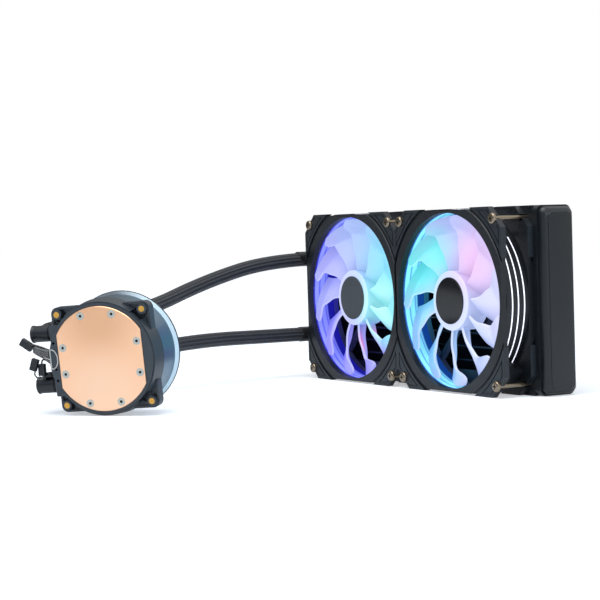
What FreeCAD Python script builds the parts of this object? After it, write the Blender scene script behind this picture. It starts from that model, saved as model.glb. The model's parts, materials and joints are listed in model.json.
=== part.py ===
import FreeCAD, Part
import math
import os

Vector = FreeCAD.Vector
FRONT = Vector(0, -1, 0)
BACK = Vector(0, 1, 0)
RIGHT = Vector(1, 0, 0)
UP = Vector(0, 0, 1)

# A liquid cooler for a processor: radiator with two fans, pump head, two hoses and the pump's cables.
# All sizes are in millimetres. X runs along the radiator, Y goes from the fans to the back, Z is up.
# The radiator stands on its long edge, and the origin is in the middle of that edge, on the floor.

# The size of the two fans sets the radiator's length and width
fan_size = 120.0

# Radiator
rad_width = fan_size
rad_depth = 27.0
core_half_length = fan_size - 1.5
core_depth = 17.4
right_tank_reach = 12.0
left_tank_reach = 24.5
plate_wall = 1.2
plate_flange = 13.0
tube_count = 12
tube_thick = 2.0
tube_wall = 0.4
tube_past_header = 1.2
fin_folds = 20
fin_foil = 0.3
header_thick = 1.5
header_rim = 5.5
header_wall = 1.0
slot_clear = 0.1
case_hole_r = 1.8
tank_wall = 1.4
tank_clear = 0.1
tank_round = 4.5
panel_inset = 3.2
panel_raise = 0.7
panel_round = 3.5
port_x = -core_half_length - 13.0
port_upper_z = rad_width - 32.3
port_lower_z = 31.6
port_foot_r = 6.6
port_foot_y = -16.5
barb_r = 2.9
barb_bore_r = 2.2
barb_length = 20.0
barb_ridge = 0.15
fill_plug_r = 5.0
fill_plug_head = 1.6
fill_plug_shank_r = 3.0
fill_plug_hex = 2.0

# Fans
fan_depth = 25.0
fan_hole_half = fan_size / 2 - 7.5
fan_hole_r = 2.2
side_recess = 1.0
corner_leg = 13.0
flange_thick = 4.0
band_raise = 1.2
band_r = fan_size / 2 + 4.0
pad_r = fan_size / 2 + 6.0
pad_border = 1.9
pad_groove_width = 0.7
pad_groove_depth = 0.6
pad_boss_r = 5.2
band_bevel = 0.6
duct_r = fan_size / 2 - 2.8
sleeve_thick = 0.8
duct_wall = 1.3
fit_clear = 0.05
light_rows = (8.4, 13.0, 17.7)
light_line = 0.7
light_slot = 0.9
light_span = 86.0
light_proud = 0.15
strut_count = 4
strut_width = 3.4
strut_depth = 3.5
outlet_width = 9.0
outlet_reach = fan_size / 2 + 7.0
motor_base_r = 19.5
motor_base_thick = 2.5
bearing_tube_r = 5.0
bearing_tube_front = 8.0
bearing_r = 3.2
shaft_r = 1.5
shaft_clear = 0.05
stator_r = 14.4
stator_front = 11.0
stator_back = 18.0
stator_arm = 5.0
coil_width = 9.0
board_r = 16.0
board_thick = 1.2
led_count = 6
led_size = 2.4
led_height = 0.8
hub_r = 19.5
hub_wall = 1.5
hub_front = 2.5
hub_back = 19.5
hub_face = 1.6
hub_boss_r = 3.2
hub_boss_back = 7.0
cap_r = 15.3
cap_thick = 0.7
cap_edge = 0.3
magnet_thick = 2.7
magnet_front = 8.5
magnet_back = 19.0
blade_count = 11
blade_thick = 1.5
blade_camber = 1.1
left_fan_turn = 11.4
right_fan_turn = -1.4
blade_tip_r = duct_r - 1.4
blade_root_r = hub_r - 0.9
blade_drawn_tip_r = 55.8
# Each blade station: radius for the drawn tip, leading and trailing edge angles, and their depths
blade_stations = (
    (17.5, 2.4, -29.0, 5.4, 17.4),
    (25.0, 5.6, -26.0, 4.6, 18.2),
    (33.0, 9.0, -22.0, 4.0, 18.4),
    (41.0, 12.6, -14.0, 3.8, 17.6),
    (45.0, 14.8, -11.4, 3.8, 16.8),
    (48.5, 21.6, -10.2, 3.8, 16.4),
    (52.5, 25.0, -9.4, 3.8, 16.2),
    (56.0, 21.0, -9.0, 4.2, 16.0),
    (59.0, 15.0, -8.8, 4.6, 15.8),
)

# Fan screws
screw_r = 1.5
screw_head_r = 3.5
screw_head = 2.2
screw_bite = 4.0
screw_clear = 0.05
cross_length = 3.6
cross_width = 0.8
cross_depth = 1.2

# Pump head, along its own axis: depths count from the front of the copper plate towards the cap
pump_x = 23.0
pump_y = -267.0
pump_turn = 42.6
pump_roll = 3.0
pump_lean = 4.6
barrel_r = 31.4
plate_r = barrel_r + 0.6
plate_flat = plate_r - 4.4
plate_thick = 2.6
plate_bevel = 0.35
plate_clear = 0.15
seal_r = plate_r - 11.5
seal_width = 1.6
seal_depth = 1.2
seal_free = 0.1
skived_fins = 14
skived_thick = 0.6
skived_height = 2.6
skived_size = 2 * seal_r - 17.0
plate_screw_spots = ((10.2, plate_r - 5.3), (plate_flat - 3.0, 9.5), (plate_flat - 3.4, 8.1))
plate_screw_head_r = 2.4
plate_screw_head = 1.3
plate_screw_r = 1.2
plate_screw_length = 7.0
plate_screw_socket_r = 0.9
body_front = 0.7
body_r = barrel_r + 2.7
barrel_back = 21.0
cold_chamber_r = seal_r - 1.9
cold_chamber_back = 9.0
rotor_chamber_r = 13.0
rotor_chamber_front = 11.0
inlet_r = 4.0
block_face = barrel_r + 2.6
block_half = barrel_r - 9.4
block_front = 3.5
block_back = 20.6
port_half = block_half - 6.0
port_depth = 15.0
port_r = 4.2
port_bottom = rotor_chamber_r + 6.0
port_boss_r = 5.6
port_boss_end = block_face + 2.4
passage_r = 2.2
passage_depth = 6.0
front_holes = ((3.6, 11.2), (3.6, -4.9), (3.8, -11.9))
front_hole_r = 0.9
front_hole_deep = 3.0
ring_clear = 0.15
hoop_front_r = barrel_r + 3.4
ring_back_r = barrel_r + 4.6
hoop_front = 1.2
ring_seat = 5.0
ring_back = 13.0
ring_slot = 8.0
ring_slot_back = 9.5
ear_half = barrel_r + 1.0
ear_r = 4.3
ear_front = 6.6
ear_recess = 1.2
ear_web = 1.4
boss_r = 3.1
insert_half = barrel_r - 3.35
ear_inner = insert_half - 12.55
insert_r = 1.9
insert_front = 4.6
insert_length = 6.4
insert_bore_r = 1.5
insert_bore = 4.6
cover_front = 15.0
cover_r = barrel_r + 3.8
cover_wall = 1.2
cover_back = 33.0
cover_clear = 0.3
light_ring_back = 35.5
light_ring_r = cover_r + 1.7
cap_disc_r = cover_r + 2.0
cap_disc_back = 37.2
cap_disc_round = 0.8
light_ring_wall = 2.2
can_flange = 2.0
can_r = 9.0
can_wall = 0.8
can_back = 29.6
coil_r = barrel_r - 13.4
coil_front = 23.4
coil_back = 28.4
stator_leg_r = 1.6
pump_board_r = cover_r - 2.2
pump_board_front = 30.0
board_leg_r = 1.8
board_leg_place = barrel_r - 7.4
pump_board_thick = 1.6
pump_led_count = 12
rotor_r = 7.9
rotor_front = 12.6
rotor_back = 28.0
vane_disc_r = 11.5
vane_disc = 1.4
vane_height = 3.0
vane_count = 6
vane_thick = 1.2
pin_r = 1.2
pin_clear = 0.06
elbow_clear = 0.07
elbow_inner_end = port_bottom + 2.0
elbow_gap = 0.3
neck_r = 4.6
neck_length = 1.6
knuckle_r = 5.1
lip_r = 5.5
lip_length = 1.6
knuckle_end = block_face + 15.8
outlet_x = block_face + 10.4
outlet_r = 5.0
outlet_length = 9.0
elbow_bore_r = 2.6
oring_back = port_bottom + 7.0
oring_width = 1.6
oring_deep = 0.9

# Hoses
hose_r = 5.1
hose_bore_r = 3.15
hose_end_run = 46.0
collar_r = 5.5
collar_length = 23.0
# Middle points of each hose, from its pump end to its radiator end
upper_hose_middle = (
    (-96.2, -183.2, 56.0),
    (-120.2, -121.9, 74.6),
)
lower_hose_middle = (
    (-94.5, -186.4, 29.4),
    (-118.7, -126.8, 32.7),
)

# Pump cables: distance out from the block's face, height, and depth behind the copper plate
cable_r = 0.8
hank_corners = ((13.0, 11.2), (0.4, 7.0), (0.4, -1.2), (13.0, 5.8))
hank_front = 2.6
hank_back = 8.0
hank_round = 1.6
power_cable_route = (
    (0.0, 4.0, 12.6),
    (3.6, 4.0, 12.6),
    (6.4, 5.4, 11.0),
    (8.0, 6.6, 7.6),
)
light_cable_route = (
    (0.0, -3.0, 12.6),
    (3.4, -3.0, 12.6),
    (6.4, -3.8, 11.6),
    (9.0, -4.8, 9.6),
)
# Each plug: centre, turn in degrees, and its length, height and thickness
power_plugs = (((16.5, 10.9, 5.2), -36.0, (8.0, 4.8, 3.4)),)
light_plugs = (
    ((13.4, -1.8, 6.0), 68.0, (7.2, 4.4, 3.2)),
    ((10.0, -5.6, 9.0), 88.0, (7.2, 4.4, 3.2)),
    ((8.0, -9.4, 12.6), 4.0, (5.0, 3.0, 3.2)),
)
plug_round = 0.5
plug_pin_r = 0.4
plug_pin_deep = 2.0
tie_wire_r = 0.4
tie_corners = (
    (-0.9, 1.5),
    (-0.9, 7.7),
    (-3.6, 6.9),
    (-5.5, 3.6),
    (-5.5, -0.6),
    (-3.6, -3.9),
    (-0.9, -4.7),
    (-0.9, 1.5),
)

fan_front_y = -rad_depth / 2 - fan_depth
duct_outer_r = duct_r + sleeve_thick + fit_clear + duct_wall


def box(x0, x1, y0, y1, z0, z1):
    return Part.makeBox(x1 - x0, y1 - y0, z1 - z0, Vector(x0, y0, z0))


def rod(r, start, length, axis):
    return Part.makeCylinder(r, length, Vector(*start), axis)


def ring(r_out, r_in, start, length, axis):
    return rod(r_out, start, length, axis).cut(rod(r_in, start, length, axis))


def fused(shapes):
    return shapes[0].fuse(shapes[1:]).removeSplitter()


def polygon_prism(points, direction):
    wire = Part.makePolygon(list(points) + [points[0]])
    return Part.Face(wire).extrude(direction)


def mirrored(shape, normal):
    return shape.mirror(Vector(0, 0, 0), normal)


def save(name, shapes):
    solids = []
    for shape in shapes:
        solids.extend(shape.Solids)
    for solid in solids:
        if not solid.isValid() or solid.Volume <= 0:
            print("bad solid in", name)
    whole = solids[0] if len(solids) == 1 else Part.makeCompound(solids)
    whole.exportStep(os.path.join("parts", name + ".step"))


# Routes of hoses and cables: straight runs joined by tangent arcs
def route_edges(name, points, diameter):
    points = [Vector(*p) for p in points]
    edges = []
    here = points[0]
    radii = []
    for before, corner, after in zip(points, points[1:], points[2:]):
        into = corner - before
        out = after - corner
        shorter = min(into.Length, out.Length)
        turn = into.getAngle(out)
        into.normalize()
        out.normalize()
        reach = 0.45 * shorter
        radius = reach / math.tan(turn / 2)
        radii.append(radius)
        start = corner - into * reach
        end = corner + out * reach
        inward = (out - into).normalize()
        middle = corner + inward * (radius / math.cos(turn / 2) - radius)
        edges.append(Part.makeLine(here, start))
        edges.append(Part.Arc(start, middle, end).toShape())
        here = end
    edges.append(Part.makeLine(here, points[-1]))
    length = sum(edge.Length for edge in edges)
    print(name, "length %.1f, radii in diameters:" % length, ["%.1f" % (r / diameter) for r in radii])
    return edges


def tube_along(edges, r):
    wire = Part.Wire(edges)
    first = edges[0]
    start = first.Vertexes[0].Point
    direction = first.Vertexes[1].Point - start
    profile = Part.Wire(Part.Circle(start, direction, r).toShape())
    return wire.makePipeShell([profile], True, False)


def hose_route(sign, middle, port_z):
    # Out of the elbow along the pump's axis, through the middle points, and square into the port
    start = port_depth + outlet_length
    points = [world_point(-outlet_x, sign * port_half, start)]
    points.append(world_point(-outlet_x, sign * port_half, start + hose_end_run))
    points.extend(Vector(*p) for p in middle)
    points.append(Vector(port_x, port_foot_y - hose_end_run, port_z))
    points.append(Vector(port_x, port_foot_y, port_z))
    return points


def hose(name, route):
    print(name, [tuple(round(c, 1) for c in p) for p in route])
    edges = route_edges(name, route, 2 * hose_r)
    tube = tube_along(edges, hose_r).cut(tube_along(edges, hose_bore_r))
    length = sum(edge.Length for edge in edges)
    section = math.pi * (hose_r ** 2 - hose_bore_r ** 2)
    print(name, "volume over section times length: %.4f" % (tube.Volume / (section * length)))
    save(name, [tube])


def shrink_collar(name, start, direction):
    outer = Part.makeCylinder(collar_r, collar_length, start, direction)
    ends = [e for e in outer.Edges if e.Closed]
    outer = outer.makeFillet(0.25, ends)
    inner = Part.makeCylinder(hose_r + fit_clear, collar_length, start, direction)
    save(name, [outer.cut(inner)])


def hoses():
    for name, sign, middle, port_z in (
        ("upper", 1, upper_hose_middle, port_upper_z),
        ("lower", -1, lower_hose_middle, port_lower_z),
    ):
        route = hose_route(sign, middle, port_z)
        hose(name + "_hose", route)
        shrink_collar(name + "_pump_collar", route[0], route[1] - route[0])
        shrink_collar(name + "_port_collar", route[-1], route[-2] - route[-1])


# Radiator
def core_rows():
    core = rad_width - 2 * plate_wall
    fin_height = (core - tube_count * tube_thick) / (tube_count + 1)
    fins = []
    tubes = []
    z = plate_wall
    for row in range(tube_count + 1):
        fins.append((z, z + fin_height))
        z += fin_height
        if row < tube_count:
            tubes.append(z + tube_thick / 2)
            z += tube_thick
    return fins, tubes


def stadium(x0, length, z, width, height):
    # A flat tube's section: two straight sides and two round edges, drawn across Y and run along X
    r = height / 2
    half = width / 2 - r
    bar = box(x0, x0 + length, -half, half, z - r, z + r)
    front = rod(r, (x0, -half, z), length, RIGHT)
    back = rod(r, (x0, half, z), length, RIGHT)
    return bar.fuse([front, back]).removeSplitter()


def radiator_tubes():
    fins, tubes = core_rows()
    half = core_half_length + header_thick + tube_past_header
    made = []
    for z in tubes:
        outer = stadium(-half, 2 * half, z, core_depth, tube_thick)
        inner = stadium(-half, 2 * half, z, core_depth - 2 * tube_wall, tube_thick - 2 * tube_wall)
        made.append(outer.cut(inner))
    save("radiator_tubes", made)


def radiator_fins():
    fins, tubes = core_rows()
    made = []
    folds = 2 * fin_folds
    step = 2 * core_half_length / folds
    for low, high in fins:
        upper = []
        lower = []
        for i in range(folds + 1):
            x = -core_half_length + i * step
            top = high if i % 2 else low + fin_foil
            bottom = high - fin_foil if i % 2 else low
            upper.append(Vector(x, -core_depth / 2, top))
            lower.append(Vector(x, -core_depth / 2, bottom))
        strip = polygon_prism(upper + lower[::-1], BACK * core_depth)
        made.append(strip)
    save("radiator_fins", made)


def side_plates():
    half = core_half_length
    deep = rad_depth / 2
    channel = box(-half, half, -deep, deep, 0, plate_flange)
    inside = box(-half, half, -deep + header_wall, deep - header_wall, plate_wall, plate_flange)
    channel = channel.cut(inside)
    drills = []
    for centre in (-fan_size / 2, fan_size / 2):
        for side in (-fan_hole_half, fan_hole_half):
            z = rad_width / 2 - fan_hole_half
            drills.append(rod(screw_r + screw_clear, (centre + side, -deep, z), deep, BACK))
            drills.append(rod(case_hole_r, (centre + side, 0, z), deep, BACK))
    lower = channel.cut(drills)
    upper = mirrored(lower, UP)
    upper.translate(UP * rad_width)
    save("lower_side_plate", [lower])
    save("upper_side_plate", [upper])


def headers():
    fins, tubes = core_rows()
    x0 = core_half_length
    deep = rad_depth / 2
    dish = box(x0, x0 + header_rim, -deep, deep, 0, rad_width)
    along_x = [e for e in dish.Edges if abs(e.tangentAt(e.FirstParameter).x) > 0.9]
    dish = dish.makeFillet(header_wall, along_x)
    hollow = box(x0 + header_thick, x0 + header_rim, -deep + header_wall, deep - header_wall,
                 header_wall, rad_width - header_wall)
    dish = dish.cut(hollow)
    slots = []
    for z in tubes:
        slot = stadium(x0, header_thick, z, core_depth + 2 * slot_clear, tube_thick + 2 * slot_clear)
        slots.append(slot)
    right = dish.cut(slots)
    save("header_plates", [right, mirrored(right, RIGHT)])


def tank_shell(reach):
    # A deep-drawn tank: it stands inside the header's rim and ends in a raised panel
    x0 = core_half_length + header_thick
    x1 = core_half_length + reach - panel_raise
    deep = rad_depth / 2 - header_wall - tank_clear
    low = header_wall + tank_clear
    high = rad_width - low
    outer = box(x0, x1, -deep, deep, low, high)
    rims = [e for e in outer.Edges if e.BoundBox.XMax > x0 + tank_wall]
    outer = outer.makeFillet(tank_round, rims)
    inset = panel_inset
    panel = box(x1 - tank_wall, x1 + panel_raise, -deep + inset, deep - inset, low + inset, high - inset)
    sides = [e for e in panel.Edges if e.BoundBox.XLength > tank_wall]
    panel = panel.makeFillet(panel_round, sides)
    brim = [e for e in panel.Edges if e.BoundBox.XMin > x1 + panel_raise - 0.01]
    panel = panel.makeFillet(panel_raise * 0.8, brim)
    outer = outer.fuse(panel).removeSplitter()
    wall = tank_wall
    inner = box(x0, x1 - wall, -deep + wall, deep - wall, low + wall, high - wall)
    corners = [e for e in inner.Edges if e.BoundBox.XMax > x0 + wall]
    inner = inner.makeFillet(tank_round - wall, corners)
    return outer.cut(inner)


def right_tank():
    save("right_tank", [tank_shell(right_tank_reach)])


def port(z):
    # The foot stands on the tank's front wall; ridges along the barb hold the hose
    wall_y = -rad_depth / 2 + header_wall + tank_clear + tank_wall
    foot = rod(port_foot_r, (port_x, wall_y, z), wall_y - port_foot_y, FRONT)
    barb = rod(barb_r, (port_x, port_foot_y, z), barb_length, FRONT)
    parts = [foot, barb]
    for i in range(3):
        at = Vector(port_x, port_foot_y - barb_length + 1 + 4 * i, z)
        parts.append(Part.makeCone(barb_r, barb_r + barb_ridge, 2.0, at, BACK))
    return parts


def left_tank():
    x = -core_half_length - left_tank_reach
    parts = [mirrored(tank_shell(left_tank_reach), RIGHT)]
    bores = []
    for z in (port_upper_z, port_lower_z):
        parts.extend(port(z))
        reach = barb_length - port_foot_y
        bores.append(rod(barb_bore_r, (port_x, port_foot_y - barb_length, z), reach, BACK))
    middle = rad_width / 2
    inside = (x + tank_wall + panel_raise, 0, middle)
    bores.append(rod(fill_plug_shank_r + fit_clear, inside, tank_wall + panel_raise, -RIGHT))
    save("left_tank", [fused(parts).cut(bores)])
    head = rod(fill_plug_r, (x, 0, middle), fill_plug_head, -RIGHT)
    shank = rod(fill_plug_shank_r, inside, tank_wall + panel_raise, -RIGHT)
    plug = head.fuse(shank).removeSplitter()
    corners = []
    for i in range(6):
        angle = math.radians(60 * i)
        y = fill_plug_hex * math.cos(angle)
        z = middle + fill_plug_hex * math.sin(angle)
        corners.append(Vector(x - fill_plug_head, y, z))
    socket = polygon_prism(corners, RIGHT * fill_plug_head)
    save("fill_plug", [plug.cut(socket)])


# Fans, drawn round their own axis with the front at depth 0, then moved to their place
def placed(shape, centre_x, turn=0.0):
    shape = shape.copy()
    if turn:
        shape.rotate(Vector(0, 0, 0), FRONT, turn)
    shape.translate(Vector(centre_x, fan_front_y, fan_size / 2))
    return shape


def octagon(half, leg, y0, y1):
    cut = half - leg
    around = [(half, -cut), (half, cut), (cut, half), (-cut, half)]
    around += [(-half, cut), (-half, -cut), (-cut, -half), (cut, -half)]
    return polygon_prism([Vector(u, y0, w) for u, w in around], BACK * (y1 - y0))


def flange(y0, y1, band_y0, band_y1):
    half = fan_size / 2 - side_recess
    leg = corner_leg - 2 * side_recess
    plate = octagon(half, leg, y0, y1)
    band = rod(band_r, (0, band_y0, 0), band_y1 - band_y0, BACK)
    face_y = band_y0 if band_y0 < y0 else band_y1
    rim = [e for e in band.Edges if abs(e.BoundBox.Center.y - face_y) < 0.01]
    band = band.makeChamfer(band_bevel, rim).common(octagon(half, leg, band_y0, band_y1))
    return [plate, band]


def arc_bar(r_in, r_out, y0, y1, span, middle):
    # A length of hoop, as a ring sector of the given span about its middle angle
    low = math.radians(middle - span / 2)
    high = math.radians(middle + span / 2)
    mid = math.radians(middle)

    def at(r, angle):
        return Vector(r * math.cos(angle), y0, r * math.sin(angle))

    edges = [
        Part.Arc(at(r_out, low), at(r_out, mid), at(r_out, high)).toShape(),
        Part.makeLine(at(r_out, high), at(r_in, high)),
        Part.Arc(at(r_in, high), at(r_in, mid), at(r_in, low)).toShape(),
        Part.makeLine(at(r_in, low), at(r_out, low)),
    ]
    return Part.Face(Part.Wire(edges)).extrude(BACK * (y1 - y0))


def fan_frame():
    back = fan_depth
    parts = flange(band_raise, flange_thick, 0, band_raise)
    parts += flange(back - flange_thick, back - band_raise, back - band_raise, back)
    parts.append(rod(duct_outer_r, (0, flange_thick, 0), back - 2 * flange_thick, BACK))
    middle = (duct_outer_r + outlet_reach) / 2
    reach = outlet_reach - duct_outer_r + 2 * duct_wall
    outlet = box(middle - reach / 2, middle + reach / 2, flange_thick, back - flange_thick,
                 -outlet_width / 2, outlet_width / 2)
    outlet.rotate(Vector(0, 0, 0), FRONT, -45)
    parts.append(outlet)
    frame = fused(parts)
    cuts = [rod(duct_r, (0, 0, 0), back, BACK)]
    sleeve_r_out = duct_r + sleeve_thick + fit_clear
    cuts.append(rod(sleeve_r_out, (0, flange_thick, 0), back - 2 * flange_thick, BACK))
    for u in (-fan_hole_half, fan_hole_half):
        for w in (-fan_hole_half, fan_hole_half):
            cuts.append(rod(fan_hole_r, (u, 0, w), back, BACK))
    for row in light_rows:
        for side in range(4):
            y0 = row - light_slot / 2
            cuts.append(arc_bar(duct_r, band_r, y0, y0 + light_slot, light_span + 0.4, 90 * side))
    frame = frame.cut(cuts)
    base_front = back - motor_base_thick
    inside = [rod(motor_base_r, (0, base_front, 0), motor_base_thick, BACK)]
    inside.append(rod(bearing_tube_r, (0, bearing_tube_front, 0), base_front - bearing_tube_front, BACK))
    for i in range(strut_count):
        arm = box(motor_base_r - hub_wall, duct_r + duct_wall, back - strut_depth, back,
                  -strut_width / 2, strut_width / 2)
        arm.rotate(Vector(0, 0, 0), BACK, 360 / strut_count * (i + 0.5))
        inside.append(arm)
    frame = frame.fuse(inside).removeSplitter()
    pocket = rod(bearing_r, (0, bearing_tube_front, 0), base_front - bearing_tube_front, BACK)
    return frame.cut(pocket)


def pad_outline(border, y0, y1):
    # The pads' shape drawn in from its edges by the given border
    leg = corner_leg - border * (2 - math.sqrt(2))
    shape = octagon(fan_size / 2 - border, leg, y0, y1)
    return shape.cut(rod(pad_r + border, (0, y0, 0), y1 - y0, BACK))


def corner_pads():
    pads = []
    half = fan_size / 2
    back = fan_depth
    inner_half = half - side_recess
    leg = corner_leg - 2 * side_recess
    for y0, y1, solid0, solid1 in (
        (0, flange_thick, band_raise, flange_thick),
        (back - flange_thick, back, back - flange_thick, back - band_raise),
    ):
        blank = pad_outline(0, y0, y1).cut(octagon(inner_half, leg, solid0, solid1))
        cuts = []
        groove = pad_outline(pad_border, 0, pad_groove_depth)
        groove = groove.cut(pad_outline(pad_border + pad_groove_width, 0, pad_groove_depth))
        for u in (-fan_hole_half, fan_hole_half):
            for w in (-fan_hole_half, fan_hole_half):
                cuts.append(rod(fan_hole_r, (u, y0, w), y1 - y0, BACK))
                groove = groove.cut(rod(pad_boss_r, (u, 0, w), pad_groove_depth, BACK))
        if y0 == 0:
            cuts.append(groove)
        pads.extend(blank.cut(cuts).Solids)
    return Part.makeCompound(pads)


def light_ring():
    sleeve = ring(duct_r + sleeve_thick, duct_r, (0, flange_thick, 0), fan_depth - 2 * flange_thick, BACK)
    ribs = []
    for row in light_rows:
        for side in range(4):
            y0 = row - light_line / 2
            r_in = duct_r + sleeve_thick / 2
            r_out = duct_outer_r + light_proud
            ribs.append(arc_bar(r_in, r_out, y0, y0 + light_line, light_span, 90 * side))
    return sleeve.fuse(ribs)


def on_circle(r, degrees, depth):
    angle = math.radians(degrees)
    return Vector(r * math.cos(angle), depth, r * math.sin(angle))


def blade():
    # A loft through flat sections; each lies along the chord of its own circle round the axis
    wires = []
    stretch = (blade_tip_r - blade_root_r) / (blade_drawn_tip_r - blade_root_r)
    for drawn_r, lead_angle, trail_angle, lead_depth, trail_depth in blade_stations:
        r = blade_root_r + (drawn_r - blade_root_r) * stretch
        lead = on_circle(r, lead_angle, lead_depth)
        trail = on_circle(r, trail_angle, trail_depth)
        chord = (trail - lead).normalize()
        across = (BACK - chord * BACK.dot(chord)).normalize() * (blade_thick / 2)
        middle = (lead + trail) / 2 + FRONT * blade_camber
        edges = [
            Part.Arc(lead - across, middle - across, trail - across).toShape(),
            Part.makeLine(trail - across, trail + across),
            Part.Arc(trail + across, middle + across, lead + across).toShape(),
            Part.makeLine(lead + across, lead - across),
        ]
        wires.append(Part.Wire(edges))
    sweep = Part.makeLoft(wires, True, False)
    room = ring(blade_tip_r, blade_root_r, (0, 0, 0), fan_depth, BACK)
    return sweep.common(room)


def impeller():
    cup = rod(hub_r, (0, hub_front, 0), hub_back - hub_front, BACK)
    rim = [e for e in cup.Edges if e.BoundBox.YMax < hub_front + 0.01]
    cup = cup.makeFillet(hub_wall * 0.8, rim)
    hollow = rod(hub_r - hub_wall, (0, hub_front + hub_face, 0), hub_back - hub_front, BACK)
    cup = cup.cut(hollow)
    boss = rod(hub_boss_r, (0, hub_front + hub_face, 0), hub_boss_back - hub_front - hub_face, BACK)
    cup = cup.fuse(boss).removeSplitter()
    cup = cup.cut(rod(shaft_r, (0, hub_front + hub_face, 0), hub_back, BACK))
    one = blade()
    blades = []
    for i in range(blade_count):
        copy = one.copy()
        copy.rotate(Vector(0, 0, 0), FRONT, 360 / blade_count * i)
        blades.append(copy)
    return cup.fuse(blades)


def stator():
    bore = bearing_tube_r + fit_clear
    depth = stator_back - stator_front
    core = [rod(bearing_tube_r + 2.5, (0, stator_front, 0), depth, BACK)]
    for i in range(4):
        arm = box(0, stator_r - 2, stator_front + 1, stator_back - 1, -stator_arm / 2, stator_arm / 2)
        coil = box(bearing_tube_r + 2, stator_r - 3, stator_front, stator_back,
                   -coil_width / 2, coil_width / 2)
        shoe = arc_bar(stator_r - 2, stator_r, stator_front + 1, stator_back - 1, 68, 0)
        for piece in (arm, coil, shoe):
            piece.rotate(Vector(0, 0, 0), BACK, 90 * i)
            core.append(piece)
    return fused(core).cut(rod(bore, (0, stator_front, 0), depth, BACK))


def circuit_board():
    back = fan_depth - motor_base_thick
    front = back - board_thick
    board = ring(board_r, bearing_tube_r + fit_clear, (0, front, 0), board_thick, BACK)
    parts = [board]
    for i in range(led_count):
        middle = (stator_r + board_r) / 2
        led = box(middle - led_size / 2, middle + led_size / 2, front - led_height, front,
                  -led_size / 2, led_size / 2)
        led.rotate(Vector(0, 0, 0), BACK, 360 / led_count * i)
        parts.append(led)
    return fused(parts)


def fan(side, centre_x, turn):
    base_front = fan_depth - motor_base_thick
    bearing = ring(bearing_r - fit_clear, shaft_r + shaft_clear, (0, bearing_tube_front, 0),
                   base_front - bearing_tube_front, BACK)
    shaft = rod(shaft_r, (0, hub_front + hub_face, 0), base_front - 1.0 - hub_front - hub_face, BACK)
    magnet_r = hub_r - hub_wall - fit_clear
    magnet = ring(magnet_r, magnet_r - magnet_thick, (0, magnet_front, 0), magnet_back - magnet_front, BACK)
    cap = rod(cap_r, (0, hub_front - cap_thick, 0), cap_thick, BACK)
    edge = [e for e in cap.Edges if e.BoundBox.YMax < hub_front - cap_thick + 0.01]
    cap = cap.makeFillet(cap_edge, edge)
    fixed = {
        "fan_frame": fan_frame(),
        "corner_pads": corner_pads(),
        "light_ring": light_ring(),
        "fan_board": circuit_board(),
        "fan_stator": stator(),
        "fan_bearing": bearing,
    }
    turning = {
        "impeller": impeller(),
        "hub_cap": cap,
        "magnet_ring": magnet,
        "fan_shaft": shaft,
    }
    for name, shape in fixed.items():
        save(side + "_" + name, [placed(shape, centre_x)])
    for name, shape in turning.items():
        save(side + "_" + name, [placed(shape, centre_x, turn)])


def fan_screw():
    # One long screw, its head on the front pad and its tip through the radiator's side plate
    shank = rod(screw_r, (0, 0, 0), fan_depth + screw_bite, BACK)
    head = rod(screw_head_r, (0, -screw_head, 0), screw_head, BACK)
    rim = [e for e in head.Edges if e.BoundBox.YMax < -screw_head + 0.01]
    head = head.makeFillet(screw_head * 0.6, rim)
    half = cross_length / 2
    thin = cross_width / 2
    slot = box(-half, half, -screw_head, cross_depth - screw_head, -thin, thin)
    other = box(-thin, thin, -screw_head, cross_depth - screw_head, -half, half)
    return shank.fuse(head).removeSplitter().cut([slot, other])


def fan_screws():
    one = fan_screw()
    made = []
    for centre in (-fan_size / 2, fan_size / 2):
        for u in (-fan_hole_half, fan_hole_half):
            for w in (-fan_hole_half, fan_hole_half):
                copy = one.copy()
                copy.translate(Vector(u, 0, w))
                made.append(placed(copy, centre))
    save("fan_screws", made)


# Pump head, drawn with the copper plate's front at depth 0, right along X, up along Y, depth along -Z
OUT = Vector(0, 0, 1)
IN = Vector(0, 0, -1)


def deep_rod(r, front, back, x=0.0, y=0.0):
    return Part.makeCylinder(r, back - front, Vector(x, y, -back), OUT)


def deep_ring(r_out, r_in, front, back):
    return deep_rod(r_out, front, back).cut(deep_rod(r_in, front, back))


def deep_box(x0, x1, y0, y1, front, back):
    return box(x0, x1, y0, y1, -back, -front)


def pump_frame():
    # The stiff hoses hold the head leaning a little, with one rim of it on the floor
    lean = math.radians(pump_lean)
    rims = ((hoop_front_r, hoop_front), (ring_back_r, ring_back), (cap_disc_r, light_ring_back))
    height = max(r * math.cos(lean) - depth * math.sin(lean) for r, depth in rims)
    turn = math.radians(pump_turn)
    out = Vector(math.sin(turn) * math.cos(lean), -math.cos(turn) * math.cos(lean), -math.sin(lean))
    level = UP.cross(out).normalize()
    upright = out.cross(level)
    roll = math.radians(pump_roll)
    across = level * math.cos(roll) + upright * math.sin(roll)
    above = upright * math.cos(roll) - level * math.sin(roll)
    matrix = FreeCAD.Matrix(
        across.x, above.x, out.x, pump_x,
        across.y, above.y, out.y, pump_y,
        across.z, above.z, out.z, height,
        0, 0, 0, 1,
    )
    return FreeCAD.Placement(matrix)


pump_place = pump_frame()


def in_world(shape):
    shape = shape.copy()
    shape.Placement = pump_place.multiply(shape.Placement)
    return shape


def world_point(x, y, depth):
    return pump_place.multVec(Vector(x, y, -depth))


def save_pump(name, shapes):
    save(name, [in_world(shape) for shape in shapes])


def plate_screw_places():
    (top_x, top_y), (right_x, right_y), (left_x, left_y) = plate_screw_spots
    spots = []
    for sign in (-1, 1):
        spots.append((top_x, sign * top_y))
        spots.append((-top_x, sign * top_y))
        spots.append((right_x, sign * right_y))
        spots.append((-left_x, sign * left_y))
    return spots


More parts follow.
